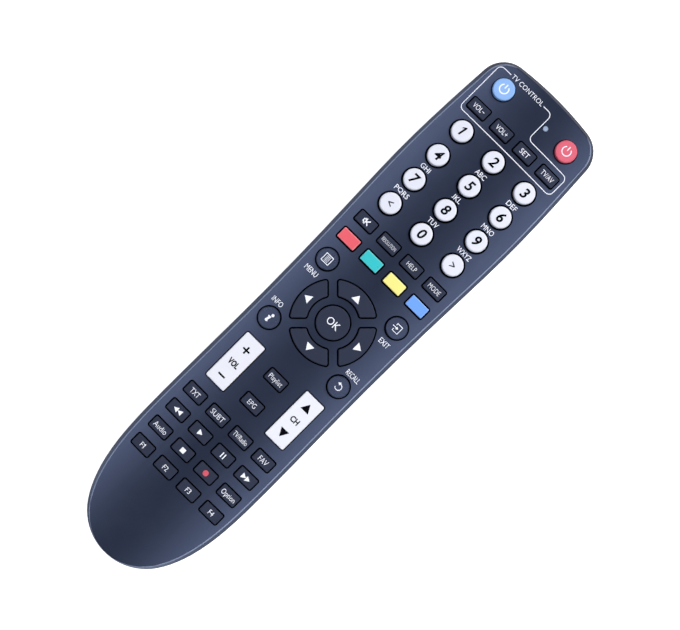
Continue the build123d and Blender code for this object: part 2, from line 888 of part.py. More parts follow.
# Contacts: two terminals at the front end and one bridge at the tail end
plate_height = 2 * cell_radius - contact_margin
with BuildPart() as battery_contacts:
    with Locations((0, tub_front_y, cell_z)):
        with GridLocations(cell_spacing, 1, 2, 1):
            Box(
                plate_height,
                contact_thickness,
                plate_height,
                align=(Align.CENTER, Align.MAX, Align.CENTER),
            )
    with Locations((0, tub_tail_y, cell_z)):
        Box(
            cell_spacing + plate_height,
            contact_thickness,
            plate_height,
            align=(Align.CENTER, Align.MIN, Align.CENTER),
        )
    for side in (-1, 1):
        add(contact_spring(side))
write(battery_contacts.part, "battery_contacts")
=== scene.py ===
# %% [markdown]
# # A satellite receiver's remote control
#
# The remote lies on its back with its keys up. Its solids come from the frame: two case shells,
# a battery cover, 55 keys and what is inside. This lesson adds what the solids don't have: the
# finish of every surface, the printing on the keys and on the case, the light and the camera.
#
# The printing could be an image, but an image has to be painted by someone and is only sharp at one
# size. Here each legend is a thin closed solid that lies on its key, as a pad-printed layer of ink
# does, so it moves when the key is pressed.

# %% Load the solids
import json
from math import cos, radians, sin

import bmesh
import bpy
from mathutils import Matrix, Vector
from mathutils.bvhtree import BVHTree

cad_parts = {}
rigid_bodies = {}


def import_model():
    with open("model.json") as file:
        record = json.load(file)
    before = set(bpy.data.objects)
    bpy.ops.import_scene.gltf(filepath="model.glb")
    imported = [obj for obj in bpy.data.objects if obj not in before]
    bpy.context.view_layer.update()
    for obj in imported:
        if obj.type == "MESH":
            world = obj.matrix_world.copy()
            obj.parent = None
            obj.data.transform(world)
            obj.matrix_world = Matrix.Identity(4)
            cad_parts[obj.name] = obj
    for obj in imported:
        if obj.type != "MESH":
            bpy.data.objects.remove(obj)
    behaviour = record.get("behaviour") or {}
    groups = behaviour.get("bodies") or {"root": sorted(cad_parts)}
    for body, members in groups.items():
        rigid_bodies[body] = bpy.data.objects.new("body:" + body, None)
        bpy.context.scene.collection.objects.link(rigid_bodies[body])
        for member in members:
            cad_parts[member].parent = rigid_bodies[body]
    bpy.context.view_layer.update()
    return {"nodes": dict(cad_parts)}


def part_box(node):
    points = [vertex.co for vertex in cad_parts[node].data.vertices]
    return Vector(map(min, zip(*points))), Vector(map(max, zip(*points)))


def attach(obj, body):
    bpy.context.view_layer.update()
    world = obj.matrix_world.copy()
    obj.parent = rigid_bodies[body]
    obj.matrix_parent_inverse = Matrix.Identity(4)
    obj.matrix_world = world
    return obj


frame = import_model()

MM = 0.001
nodes = frame["nodes"]


# %% [markdown]
# ## Where things are
#
# A legend belongs in the middle of its key, and a label stands a few millimetres beside one. So the
# lesson asks the frame for the middle of a key, in millimetres, instead of repeating a table of
# places. If a key moves in the source, its legend follows.

# %% The middle of a key
def middle(node):
    """Middle of a node's box in plan, in millimetres."""
    low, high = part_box(node)
    return (low.x + high.x) / 2 / MM, (low.y + high.y) / 2 / MM


COLUMNS = [middle(name)[0] for name in ("mute_key", "resolution_key", "help_key", "mode_key")]
print("columns of the small keys:", [round(x, 2) for x in COLUMNS])


# %% [markdown]
# ## The camera
#
# The picture looks straight down on the remote, which lies across the frame at 45 degrees. The
# sides of the case are just out of sight, so the camera is not far away: a distance of about
# 44 cm gives the tops of the keys the 2.5% that they are larger than the outline's scale. The focal
# length then follows from the scale at the height of the seam between the two shells.

# %% Set up the camera
PICTURE_WIDTH_PX = 680
SCALE_PX_PER_MM = 3.048
SEAM_HEIGHT_MM = 11.0
CAMERA_AT_MM = (-0.2, 4.57, 437.0)
CAMERA_TURN = radians(44.95)

camera_data = bpy.data.cameras.new("overhead_camera")
camera_data.sensor_width = 36.0
seam_distance_mm = CAMERA_AT_MM[2] - SEAM_HEIGHT_MM
camera_data.lens = SCALE_PX_PER_MM * camera_data.sensor_width * seam_distance_mm / PICTURE_WIDTH_PX
camera_data.clip_start = 0.01
camera = bpy.data.objects.new("overhead_camera", camera_data)
camera.location = Vector(CAMERA_AT_MM) * MM
camera.rotation_euler = (0, 0, CAMERA_TURN)
bpy.context.scene.collection.objects.link(camera)
bpy.context.scene.camera = camera
print("focal length:", round(camera_data.lens, 2), "mm")


# %% [markdown]
# ## Helpers for node trees
#
# Blender's shader nodes can be wired by hand in the node editor, but a script shows every value.
# `add` makes one node and sets its inputs by name: a socket is linked, and anything else becomes the
# input's own value. `math` does the same for arithmetic, and `mix` for a colour that changes from
# one to another where a mask goes from 0 to 1.

# %% Helpers for node trees
def fill(socket, value, tree):
    """Links a socket to another one, or sets its own value."""
    if isinstance(value, bpy.types.NodeSocket):
        tree.links.new(value, socket)
    else:
        socket.default_value = value


def add(tree, kind, settings=(), **inputs):
    """A new node; an input's name is written with _ for a space."""
    made = tree.nodes.new(kind)
    for name, value in dict(settings).items():
        setattr(made, name, value)
    for name, value in inputs.items():
        fill(made.inputs[name.replace("_", " ")], value, tree)
    return made


def math(tree, operation, *values, clamp=False):
    """The result of a Math node."""
    made = add(tree, "ShaderNodeMath", {"operation": operation, "use_clamp": clamp})
    for socket, value in zip(made.inputs, values):
        fill(socket, value, tree)
    return made.outputs[0]


def mix(tree, mask, first, second):
    """A colour that goes from the first to the second as the mask goes from 0 to 1."""
    made = add(tree, "ShaderNodeMix", {"data_type": "RGBA"})
    for index, value in ((0, mask), (6, first), (7, second)):
        fill(made.inputs[index], value, tree)
    return made.outputs[2]


print("helpers: fill, add, math, mix")


# %% Values that change over a surface
def ramp(tree, value, start, end):
    """Goes from 0 to 1 as the value goes from start to end."""
    return math(tree, "DIVIDE", math(tree, "SUBTRACT", value, start), end - start, clamp=True)


def noise(tree, where, scale, detail=2.0, roughness=0.5, distortion=0.0):
    """The grey value of a Noise Texture."""
    made = add(tree, "ShaderNodeTexNoise", Vector=where, Scale=scale, Detail=detail,
               Roughness=roughness, Distortion=distortion)
    return made.outputs["Fac"]


def empty_tree(owner):
    """The node tree of a material or world, without its first nodes."""
    owner.use_nodes = True
    owner.node_tree.nodes.clear()
    return owner.node_tree


print("helpers: ramp, noise, empty_tree")


# %% [markdown]
# ## The table and the light
#
# Product pictures like this one are made on a white light table, so the ground is pure white and
# hardly shows a shadow. The main light comes from beyond the front end and a little from the right,
# so every key has its wider shadow towards the tail and the left. A polarising sheet in front of it
# keeps its own image out of the glossy corners, so glossy rays don't see it here.
#
# The rest is a tent of cloth over the remote, which is the world's background here. The camera looks
# in through a dark slot along the top, and the cloth gets brighter away from the slot. The crowned
# face mirrors the slot in its middle and the bright cloth near its edges, where it leans outwards:
# that is why the case looks darkest in the middle. The direction's X says how far from the slot a
# part of the cloth is. Two low strips light the sides of the keys.
#
# The camera sees the table glow. The case mirrors it darker than that, because a real light table is
# covered up to the object's edge, so the sides don't turn white. A dark card lies in front of the
# steep front wall, which would mirror most of the table; the camera ray doesn't see the card either.

# %% Soft boxes
MAIN_LIGHT = (1.0, 0.985, 0.975)
MAIN_AT, MAIN_SIZE, MAIN_POWER = (0.84, 1.65, 2.16), (0.90, 1.10), 92.0
SIDE_LIGHT = (0.80, 0.87, 1.0)
STRIP_SIZE, STRIP_POWER = (0.16, 1.60), 1.5

scene = bpy.context.scene
scene.view_settings.view_transform = "Standard"


def link(data, name):
    """Puts data in the scene as a new object."""
    made = bpy.data.objects.new(name, data)
    scene.collection.objects.link(made)
    return made


def soft_box(name, at, size, power, colour):
    """A soft box that faces the remote, its long side level; size is height and length in metres."""
    light = bpy.data.lights.new(name, "AREA")
    light.shape = "RECTANGLE"
    light.size, light.size_y = size
    light.energy = power
    light.color = colour
    made = link(light, name)
    made.location = at
    made.rotation_euler = (-Vector(at)).to_track_quat("-Z", "X").to_euler()
    return made


soft_box("main_box", MAIN_AT, MAIN_SIZE, MAIN_POWER, MAIN_LIGHT).visible_glossy = False
for side, x in (("left", -0.75), ("right", 0.75)):
    soft_box(f"{side}_strip", (x, -0.20, 0.34), STRIP_SIZE, STRIP_POWER, SIDE_LIGHT)
print("soft boxes:", [light.name for light in bpy.data.lights])


# %% Tent of cloth
SLOT = (0.05, 0.055, 0.063, 1)
CLOTH = (1.65, 1.82, 2.2, 1)
WALLS = (0.26, 0.28, 0.32, 1)
CLOTH_FULL_FROM = 0.28
CLOTH_ENDS = (0.32, 0.44)
CLOTH_LENGTH_ENDS = (0.36, 0.56)
WALLS_BELOW = (0.6, 0.2)

room = bpy.data.worlds.new("studio_room")
tree = empty_tree(room)
towards = add(tree, "ShaderNodeSeparateXYZ", Vector=add(tree, "ShaderNodeTexCoord").outputs["Generated"])
upward = towards.outputs["Z"]
aside = math(tree, "ABSOLUTE", towards.outputs["X"])
along = math(tree, "ABSOLUTE", towards.outputs["Y"])
rise = math(tree, "POWER", math(tree, "DIVIDE", aside, CLOTH_FULL_FROM, clamp=True), 2.0)
reach = math(tree, "MULTIPLY", math(tree, "SUBTRACT", 1.0, ramp(tree, aside, *CLOTH_ENDS)),
             math(tree, "SUBTRACT", 1.0, ramp(tree, along, *CLOTH_LENGTH_ENDS)))
above = math(tree, "GREATER_THAN", upward, 0.0)
inside = mix(tree, math(tree, "MULTIPLY", math(tree, "MULTIPLY", rise, reach), above), SLOT, CLOTH)
sky = add(tree, "ShaderNodeBackground", Color=mix(tree, ramp(tree, upward, *WALLS_BELOW), inside, WALLS))
add(tree, "ShaderNodeOutputWorld", Surface=sky.outputs[0])
scene.world = room
print("the cloth is", round(CLOTH[1] / SLOT[1]), "times as bright as the slot")


# %% Light table
TABLE_HALF_SIZE = 6.0
TABLE_GREY = (0.42, 0.42, 0.43, 1)
TABLE_PALE = (0.47, 0.47, 0.475, 1)
TABLE_GLOW = 2.3
TABLE_COVERED = (0.33, 0.37, 0.46, 1)
DARK_CARD = (0.20, 0.20, 0.21, 1)
CARD_FROM = (0.090, 0.108)
TABLE_GRAIN_PER_M = 180.0

table_top = bpy.data.materials.new("table_top")
tree = empty_tree(table_top)
spot = add(tree, "ShaderNodeTexCoord").outputs["Object"]
pale = mix(tree, noise(tree, spot, TABLE_GRAIN_PER_M), TABLE_GREY, TABLE_PALE)
card = ramp(tree, add(tree, "ShaderNodeSeparateXYZ", Vector=spot).outputs["Y"], *CARD_FROM)
seen = add(tree, "ShaderNodeLightPath").outputs["Is Camera Ray"]
mirrored = mix(tree, card, TABLE_COVERED, DARK_CARD)
sheet = add(tree, "ShaderNodeBsdfPrincipled", Base_Color=mix(tree, seen, mirrored, pale), Roughness=0.9,
            Emission_Color=pale, Emission_Strength=math(tree, "MULTIPLY", seen, TABLE_GLOW))
add(tree, "ShaderNodeOutputMaterial", Surface=sheet.outputs[0])

table = bpy.data.meshes.new("light_table")
corners = [(x * TABLE_HALF_SIZE, y * TABLE_HALF_SIZE, 0) for x, y in ((-1, -1), (1, -1), (1, 1), (-1, 1))]
table.from_pydata(corners, [], [(0, 1, 2, 3)])
table.materials.append(table_top)
link(table, "light_table")
print("table:", 2 * TABLE_HALF_SIZE, "m square, so that no view sees its edge")


# %% [markdown]
# ## Effects that several finishes share
#
# Moulded plastic is never a single flat colour. Three effects come back in every finish here, so
# each is a node group that is built once, with named inputs and outputs:
#
# - **moulded_grain**: the mould's spark-eroded texture. It gives a height for the bump, and a slow
#   mottle for the small differences in colour that thick and thin walls cause.
# - **edge_wear**: where a corner is sharp, thumbs polish it. The Bevel node bends the normal near an
#   edge, and how far it bends is the mask, broken up by noise so that it isn't a drawn line. The
#   finishes also paint light with it: lighter edges are partly a painted highlight, darker ones painted
#       shade.
# - **handling_marks**: faint smears of skin oil, which change the gloss and not the colour.
#
# All three read the object's own coordinates in metres, so their grain has a real size and stays on
# a key when the key moves. A group's sockets are made with `interface.new_socket`.

# %% Helpers for node groups
def new_group(name, inputs, outputs):
    """An empty shader node group with its sockets; returns the group, its input and its output."""
    group = bpy.data.node_groups.new(name, "ShaderNodeTree")
    for label, value in inputs.items():
        group.interface.new_socket(label, in_out="INPUT", socket_type="NodeSocketFloat").default_value = value
    for label in outputs:
        group.interface.new_socket(label, in_out="OUTPUT", socket_type="NodeSocketFloat")
    return group, group.nodes.new("NodeGroupInput").outputs, group.nodes.new("NodeGroupOutput").inputs


def object_place(tree):
    """A point of the surface in the object's own coordinates, in metres."""
    return add(tree, "ShaderNodeTexCoord").outputs["Object"]


def use_group(tree, group, **inputs):
    """Places a group in a material with its own values; returns its outputs."""
    made = add(tree, "ShaderNodeGroup", {"node_tree": group})
    for name, value in inputs.items():
        fill(made.inputs[name.replace("_", " ")], value, tree)
    return made.outputs


print("a group's numbers are given by name when it is placed")


# %% Grain, worn edges and smears
GRAIN_SIZE, MOTTLE_SIZE = "Grain Size", "Mottle Size"
WEAR_GAIN = 6.0
PATCHES_PER_M, PATCHES_GAIN, PATCHES_LEAST = 900.0, 1.2, 0.2
SMEARS_GAIN, SMEARS_SHIFT = 2.2, -0.6

grain_group, given, result = new_group(
    "moulded_grain", {GRAIN_SIZE: 0.00035, MOTTLE_SIZE: 0.012}, ("Height", "Mottle"))
place = object_place(grain_group)
fine = noise(grain_group, place, math(grain_group, "DIVIDE", 1.0, given[GRAIN_SIZE]), roughness=0.6)
coarse = noise(grain_group, place, math(grain_group, "DIVIDE", 0.3, given[GRAIN_SIZE]), detail=1.0)
height = math(grain_group, "ADD", math(grain_group, "MULTIPLY", fine, 0.7),
              math(grain_group, "MULTIPLY", coarse, 0.3))
slow = noise(grain_group, place, math(grain_group, "DIVIDE", 1.0, given[MOTTLE_SIZE]), detail=4.0,
             roughness=0.55)
fill(result["Height"], height, grain_group)
fill(result["Mottle"], slow, grain_group)

wear_group, given, result = new_group("edge_wear", {"Radius": 0.0004, "Amount": 1.0}, ("Mask",))
bent = add(wear_group, "ShaderNodeBevel", {"samples": 4}, Radius=given["Radius"]).outputs[0]
flat = add(wear_group, "ShaderNodeNewGeometry").outputs["Normal"]
alike = add(wear_group, "ShaderNodeVectorMath", {"operation": "DOT_PRODUCT"})
fill(alike.inputs[0], bent, wear_group)
fill(alike.inputs[1], flat, wear_group)
turned = math(wear_group, "MULTIPLY", math(wear_group, "SUBTRACT", 1.0, alike.outputs["Value"]),
              WEAR_GAIN, clamp=True)
patches = noise(wear_group, object_place(wear_group), PATCHES_PER_M, detail=3.0)
broken = math(wear_group, "MULTIPLY_ADD", patches, PATCHES_GAIN, PATCHES_LEAST, clamp=True)
worn_and_shaded = math(wear_group, "MULTIPLY", turned, broken)
fill(result["Mask"], math(wear_group, "MULTIPLY", worn_and_shaded, given["Amount"], clamp=True), wear_group)

marks_group, given, result = new_group("handling_marks", {"Size": 0.018}, ("Smear",))
smears = noise(marks_group, object_place(marks_group), math(marks_group, "DIVIDE", 1.0, given["Size"]),
               detail=5.0, roughness=0.6, distortion=1.6)
strong = math(marks_group, "MULTIPLY_ADD", smears, SMEARS_GAIN, SMEARS_SHIFT, clamp=True)
fill(result["Smear"], strong, marks_group)
print("node groups:", [group.name for group in bpy.data.node_groups])


# %% [markdown]
# ## Two masks that know this remote
#
# - **painted_gap_shade** is 1 among the keys and below the crowned face, so in the gap round a key. It
#   paints shade there: those walls and the flanges under them turn nearly black and lose their sheen.
# - **painted_rim_highlight** is 1 on the rounded edge along both sides of the case, where it paints a
#   fine pale line: a painted highlight of the side lights. It asks how far the surface leans, and to which
#       side.
#
# Both could be painted by hand on an unwrapped mesh. A rule that reads the place and the lean needs
# no painting and still holds when the case gets longer.

# %% Two masks that know this remote
CROWN_RADIUS = 0.2
KEYS_HALF_WIDTH = 0.0205
KEYS_FROM_TAIL, KEYS_FROM_FRONT = 0.031, 0.006
RIM_STARTS, RIM_ENDS, RIM_SIDEWAYS = (0.975, 0.95), (0.45, 0.60), (0.15, 0.32)
case_low, case_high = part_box("top_case")


def among_keys(tree):
    """1 over the part of the face that has keys in it, 0 outside it."""
    where = add(tree, "ShaderNodeSeparateXYZ", Vector=object_place(tree)).outputs
    aside = math(tree, "ABSOLUTE", where["X"])
    rows = math(tree, "MULTIPLY", math(tree, "GREATER_THAN", where["Y"], case_low.y + KEYS_FROM_TAIL),
                math(tree, "LESS_THAN", where["Y"], case_high.y - KEYS_FROM_FRONT))
    return math(tree, "MULTIPLY", rows, math(tree, "LESS_THAN", aside, KEYS_HALF_WIDTH))


# painted shade: rises from 0 to 1 between 0.1 and 0.4 mm below the crowned face, among the keys
gap_shade_group, given, result = new_group("painted_gap_shade", {"Start": 0.0001, "End": 0.0004}, ("Mask",))
place = add(gap_shade_group, "ShaderNodeSeparateXYZ", Vector=object_place(gap_shade_group)).outputs
drop = math(gap_shade_group, "MULTIPLY", math(gap_shade_group, "MULTIPLY", place["X"], place["X"]), 0.5 / CROWN_RADIUS)
depth = math(gap_shade_group, "SUBTRACT", math(gap_shade_group, "SUBTRACT", case_high.z, drop), place["Z"])
span = math(gap_shade_group, "SUBTRACT", given["End"], given["Start"])
below = math(gap_shade_group, "DIVIDE", math(gap_shade_group, "SUBTRACT", depth, given["Start"]), span, clamp=True)
fill(result["Mask"], math(gap_shade_group, "MULTIPLY", below, among_keys(gap_shade_group)), gap_shade_group)

# painted highlight: a pale line on the rounded edge along both sides of the case
rim_highlight_group, given, result = new_group("painted_rim_highlight", {"Amount": 1.0}, ("Mask",))
lean = add(rim_highlight_group, "ShaderNodeSeparateXYZ",
           Vector=add(rim_highlight_group, "ShaderNodeTexCoord").outputs["Normal"]).outputs
rounded = math(rim_highlight_group, "MULTIPLY", ramp(rim_highlight_group, lean["Z"], *RIM_STARTS),
               ramp(rim_highlight_group, lean["Z"], *RIM_ENDS))
sideways = ramp(rim_highlight_group, math(rim_highlight_group, "ABSOLUTE", lean["X"]), *RIM_SIDEWAYS)
outside = math(rim_highlight_group, "SUBTRACT", given["Amount"], among_keys(rim_highlight_group), clamp=True)
rim_highlight = math(rim_highlight_group, "MULTIPLY", math(rim_highlight_group, "MULTIPLY", rounded, sideways), outside)
fill(result["Mask"], rim_highlight, rim_highlight_group)
print("masks:", gap_shade_group.name, rim_highlight_group.name)


# %% [markdown]
# ## Moulded plastic
#
# The shells, the keys and the window differ in colour, gloss and grain, and not in kind, so one
# function makes them all. The colour, the roughness and the normal change over the surface and come
# from the groups. What is the same all over, such as the tint of the reflection, is set on the
# shader itself, so that it survives an export.

# %% One function for every plastic
finishes = {}
POLISH = -0.12


def shade(colour, factor):
    """A colour made lighter or darker."""
    return (*(min(part * factor, 1.0) for part in colour), 1)


def fresh_material(name):
    """A new material; the plain one of that name that came with the solids steps aside."""
    if name in bpy.data.materials:
        bpy.data.materials[name].name = f"plain_{name}"
    return bpy.data.materials.new(name)


def moulded(name, colour, roughness, grain=0.00035, relief=0.000012, worn_and_shaded=1.25, wear=0.5, pale=0.0,
            mottle=0.10, smear=0.08, well=None, rim_highlight=None, sheen=0.5, **shader):
    """A moulded plastic or rubber; worn_and_shaded is how much lighter its rubbed edges are, partly wear
    and partly a painted highlight, and below 1 it darkens them as painted shade. pale is the share of
    white in them, for a paler painted highlight. rim_highlight is the colour of a painted highlight along
    the case's sides, and well that of painted shade below the face, where the sheen is taken away."""
    made = fresh_material(name)
    tree = empty_tree(made)
    skin = use_group(tree, grain_group, Grain_Size=grain)
    edge = use_group(tree, wear_group, Amount=wear)["Mask"]
    smears = use_group(tree, marks_group)["Smear"]
    body_colour = mix(tree, skin["Mottle"], shade(colour, 1 - mottle), shade(colour, 1 + mottle))
    # the rubbed edges' colour: lighter is partly wear and partly a painted highlight, darker is painted shade
    edge_colour = shade([part * worn_and_shaded * (1 - pale) + pale for part in colour], 1)
    surface_colour = mix(tree, edge, body_colour, edge_colour)
    # a painted highlight on the rounded edge along the case's sides
    if rim_highlight:
        surface_colour = mix(tree, use_group(tree, rim_highlight_group)["Mask"], surface_colour, (*rim_highlight, 1))
    # painted shade in the gaps round the keys: nearly black, and no sheen
    if well:
        below = use_group(tree, gap_shade_group)["Mask"]
        surface_colour = mix(tree, below, surface_colour, (*well, 1))
        shader["Specular_IOR_Level"] = math(tree, "MULTIPLY_ADD", below, -sheen, sheen)
    gloss = math(tree, "MULTIPLY_ADD", smears, -smear, roughness)
    polished = math(tree, "MULTIPLY_ADD", edge, POLISH, gloss, clamp=True)
    bump = add(tree, "ShaderNodeBump", Strength=1.0, Distance=relief, Height=skin["Height"])
    surface = add(tree, "ShaderNodeBsdfPrincipled", Base_Color=surface_colour, Roughness=polished,
                  Normal=bump.outputs[0], **shader)
    add(tree, "ShaderNodeOutputMaterial", Surface=surface.outputs[0])
    finishes[name] = made


print("a worn edge is", -POLISH, "smoother than the face beside it")


# %% [markdown]
# ## The plastics of this remote
#
# The case is a dark slate blue with a blue sheen, glossier above than below. Four round keys share
# that gloss, and the other dark keys are satin. The caps of the digits and rockers are white, and the
# power and colour keys have the colours that a viewer knows from the screen.

# %% The plastics of this remote
CASE_SHEEN = (0.62, 0.71, 1.0, 1)
# the colour of the painted shade in the gaps round the keys
PAINTED_GAP_SHADE = (0.0012, 0.0016, 0.0030)
# the colour of the painted highlight along the case's sides
PAINTED_RIM_HIGHLIGHT = (0.21, 0.245, 0.34)
KEY_GRAIN = 0.000006
# the case: a painted highlight along its sides, and painted shade in the gaps round its keys
moulded("upper_case_plastic", (0.0175, 0.0228, 0.0414), 0.20, relief=KEY_GRAIN, wear=0.15, well=PAINTED_GAP_SHADE,
        rim_highlight=PAINTED_RIM_HIGHLIGHT, Specular_Tint=CASE_SHEEN, sheen=1.0)
moulded("lower_case_plastic", (0.012, 0.016, 0.031), 0.50, grain=0.0006, relief=0.00003,
        Specular_Tint=CASE_SHEEN)
# the dark keys' lighter edges: partly wear, partly a painted highlight
moulded("dark_key_plastic", (0.020, 0.026, 0.047), 0.30, relief=KEY_GRAIN, worn_and_shaded=1.8, wear=0.8, well=PAINTED_GAP_SHADE,
        Specular_Tint=CASE_SHEEN, sheen=1.0)
moulded("dark_satin_plastic", (0.0283, 0.0335, 0.0545), 0.42, relief=KEY_GRAIN, worn_and_shaded=1.5, wear=0.8,
        well=PAINTED_GAP_SHADE, Specular_Tint=CASE_SHEEN, sheen=0.2)
moulded("white_key_plastic", (0.70, 0.705, 0.765), 0.38, relief=KEY_GRAIN, worn_and_shaded=0.98, mottle=0.02, well=PAINTED_GAP_SHADE)
# a whiter copy for the rockers: partly painted light, for the weaker light at the tail end
moulded("lightened_rocker_white", (0.75, 0.75, 0.79), 0.38, relief=KEY_GRAIN, worn_and_shaded=0.98, mottle=0.02,
        well=PAINTED_GAP_SHADE)
CAP = dict(roughness=0.34, relief=KEY_GRAIN, wear=1.6, mottle=0.04, well=PAINTED_GAP_SHADE)
# the power keys' darker edges are painted shade on their domed caps; the colour keys' pale edges are a
# painted highlight
moulded("pale_blue_key", (0.245, 0.43, 0.77), worn_and_shaded=0.8, **CAP)
moulded("power_red_key", (0.66, 0.112, 0.158), worn_and_shaded=0.8, **CAP)
moulded("colour_red_key", (0.76, 0.099, 0.120), worn_and_shaded=1.0, pale=0.4, **CAP)
moulded("colour_green_key", (0.033, 0.505, 0.52), worn_and_shaded=1.0, pale=0.4, **CAP)
moulded("colour_yellow_key", (0.87, 0.775, 0.225), worn_and_shaded=1.0, pale=0.4, **CAP)
moulded("colour_blue_key", (0.142, 0.335, 0.82), worn_and_shaded=1.0, pale=0.4, **CAP)
moulded("window_plastic", (0.012, 0.007, 0.012), 0.10, relief=0.000002, wear=0.1, Coat_Weight=0.3)
moulded("light_pipe_plastic", (0.30, 0.37, 0.50), 0.22, relief=0.000003, mottle=0.05, worn_and_shaded=0.3, wear=1.0)
moulded("sheet_rubber", (0.045, 0.047, 0.052), 0.75, grain=0.0003, relief=0.00002, wear=0.2)
moulded("component_epoxy", (0.012, 0.012, 0.013), 0.45, grain=0.0002, relief=0.00001, wear=0.2)
moulded("lamp_epoxy", (0.16, 0.22, 0.36), 0.06, relief=0.000001, wear=0.0, Coat_Weight=0.5)
print("plastics:", len(finishes))


# %% [markdown]
# ## Board, cells and contacts
#
# These are hidden until the battery cover slides off, but then they show. The board's green mask
# gets paths of copper from a stretched, stepped noise. The cells are a pale jacket with one blue
# band and bare steel at both ends. They lie head to tail, so the right one is measured from the tail
# and the left one from the front, and the mask asks on which side of the middle it is.

# %% Circuit board
def output(tree, **inputs):
    """A Principled shader with its inputs, wired to the material's output."""
    surface = add(tree, "ShaderNodeBsdfPrincipled", **inputs)
    add(tree, "ShaderNodeOutputMaterial", Surface=surface.outputs[0])


def new_material(name):
    """The empty node tree of a new finish."""
    finishes[name] = fresh_material(name)
    return empty_tree(finishes[name])


def between(tree, value, low, high):
    """1 where the value lies between two limits."""
    return math(tree, "MULTIPLY", math(tree, "GREATER_THAN", value, low),
                math(tree, "LESS_THAN", value, high))


MASK_GREEN = (0.012, 0.10, 0.045, 1)
COPPER_UNDER_MASK = (0.03, 0.20, 0.08, 1)
PATHS_ALONG = (1.0, 0.12, 1.0)
PATHS_PER_M, PATHS_BETWEEN = 700.0, (0.46, 0.56)
tree = new_material("board_laminate")
stretched = add(tree, "ShaderNodeVectorMath", {"operation": "MULTIPLY"})
fill(stretched.inputs[0], object_place(tree), tree)
fill(stretched.inputs[1], PATHS_ALONG, tree)
paths = between(tree, noise(tree, stretched.outputs[0], PATHS_PER_M, detail=0.0), *PATHS_BETWEEN)
weave = use_group(tree, grain_group, Grain_Size=0.0004)
green = mix(tree, paths, mix(tree, weave["Mottle"], MASK_GREEN, shade(MASK_GREEN[:3], 1.3)),
            COPPER_UNDER_MASK)
relief = math(tree, "ADD", weave["Height"], paths)
bump = add(tree, "ShaderNodeBump", Strength=1.0, Distance=0.00003, Height=relief)
output(tree, Base_Color=green, Roughness=0.3, Normal=bump.outputs[0])
print("the board's mask is", MASK_GREEN[:3])


# %% Battery cells
STEEL = (0.60, 0.60, 0.58, 1)
JACKET = (0.55, 0.57, 0.60, 1)
BLUE = (0.03, 0.10, 0.35, 1)
CELL_LENGTH = 44.5 * MM
STEEL_END = 1.7 * MM
BLUE_BAND = (6.0 * MM, 13.0 * MM)
cell_low, cell_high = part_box("batteries")
tree = new_material("cell_jacket")
place = add(tree, "ShaderNodeSeparateXYZ", Vector=object_place(tree)).outputs
right = math(tree, "GREATER_THAN", place["X"], 0.0)
from_tail = math(tree, "SUBTRACT", place["Y"], cell_low.y)
from_front = math(tree, "SUBTRACT", cell_high.y, place["Y"])
own = math(tree, "ADD", math(tree, "MULTIPLY", right, from_tail),
           math(tree, "MULTIPLY", math(tree, "SUBTRACT", 1.0, right), from_front))
jacket = between(tree, own, STEEL_END, CELL_LENGTH - STEEL_END / 3)
grime = use_group(tree, grain_group, Grain_Size=0.0003)
pale_jacket = mix(tree, grime["Mottle"], JACKET, shade(JACKET[:3], 0.9))
printed = mix(tree, between(tree, own, *BLUE_BAND), pale_jacket, BLUE)
bump = add(tree, "ShaderNodeBump", Strength=1.0, Distance=0.000004, Height=grime["Height"])
output(tree, Base_Color=mix(tree, jacket, STEEL, printed), Roughness=0.28,
       Metallic=math(tree, "SUBTRACT", 1.0, jacket), Normal=bump.outputs[0])
print("the blue band is", round((BLUE_BAND[1] - BLUE_BAND[0]) / MM, 1), "mm wide")


# %% Contacts
NICKEL = (0.62, 0.60, 0.55)
tree = new_material("contact_metal")
grime = use_group(tree, grain_group, Grain_Size=0.00012)
smears = use_group(tree, marks_group, Size=0.006)["Smear"]
bump = add(tree, "ShaderNodeBump", Strength=1.0, Distance=0.000006, Height=grime["Height"])
output(tree, Base_Color=mix(tree, grime["Mottle"], shade(NICKEL, 0.9), shade(NICKEL, 1.05)),
       Metallic=1.0, Roughness=math(tree, "MULTIPLY_ADD", smears, 0.2, 0.22), Normal=bump.outputs[0])
print("finishes so far:", len(finishes))


# %% [markdown]
# ## Which solid gets which finish
#
# Each solid comes with slots that the source named, and a slot takes the finish of its own name.
# Two finishes are only told apart here, because they are the same material with another surface:
# most dark keys are satin, and the rockers get a whiter copy of the white plastic, partly as painted
# light that makes up for the weaker light at the tail end.

# %% Put the finishes on the solids
SHINY_KEYS = ("menu_key", "exit_key", "info_key", "recall_key")


def finish_of(node, slot):
    """The slot's own finish, but most dark keys are satin and the rockers get a whiter copy of the white
    plastic, partly painted light.
    """
    if slot == "dark_key_plastic" and node not in SHINY_KEYS:
        return finishes["dark_satin_plastic"]
    if node in ("volume_rocker", "channel_rocker"):
        return finishes["lightened_rocker_white"]
    return finishes[slot]


for name, solid in nodes.items():
    for place in solid.material_slots:
        place.material = finish_of(name, place.material.name.removeprefix("plain_"))
print("finishes on the solids:", sorted({s.material.name for n in nodes.values() for s in n.material_slots}))


# %% [markdown]
# ## Inks
#
# The legends are pad-printed: a silicone pad lays about a hundredth of a millimetre of ink on the
# key. Ink is matt and a little uneven, with pin holes in it, so it mixes towards the plastic's
# colour where the fine grain is high.

# %% Inks
HOLES_GAIN, HOLES_SHIFT = 1.5, -0.95


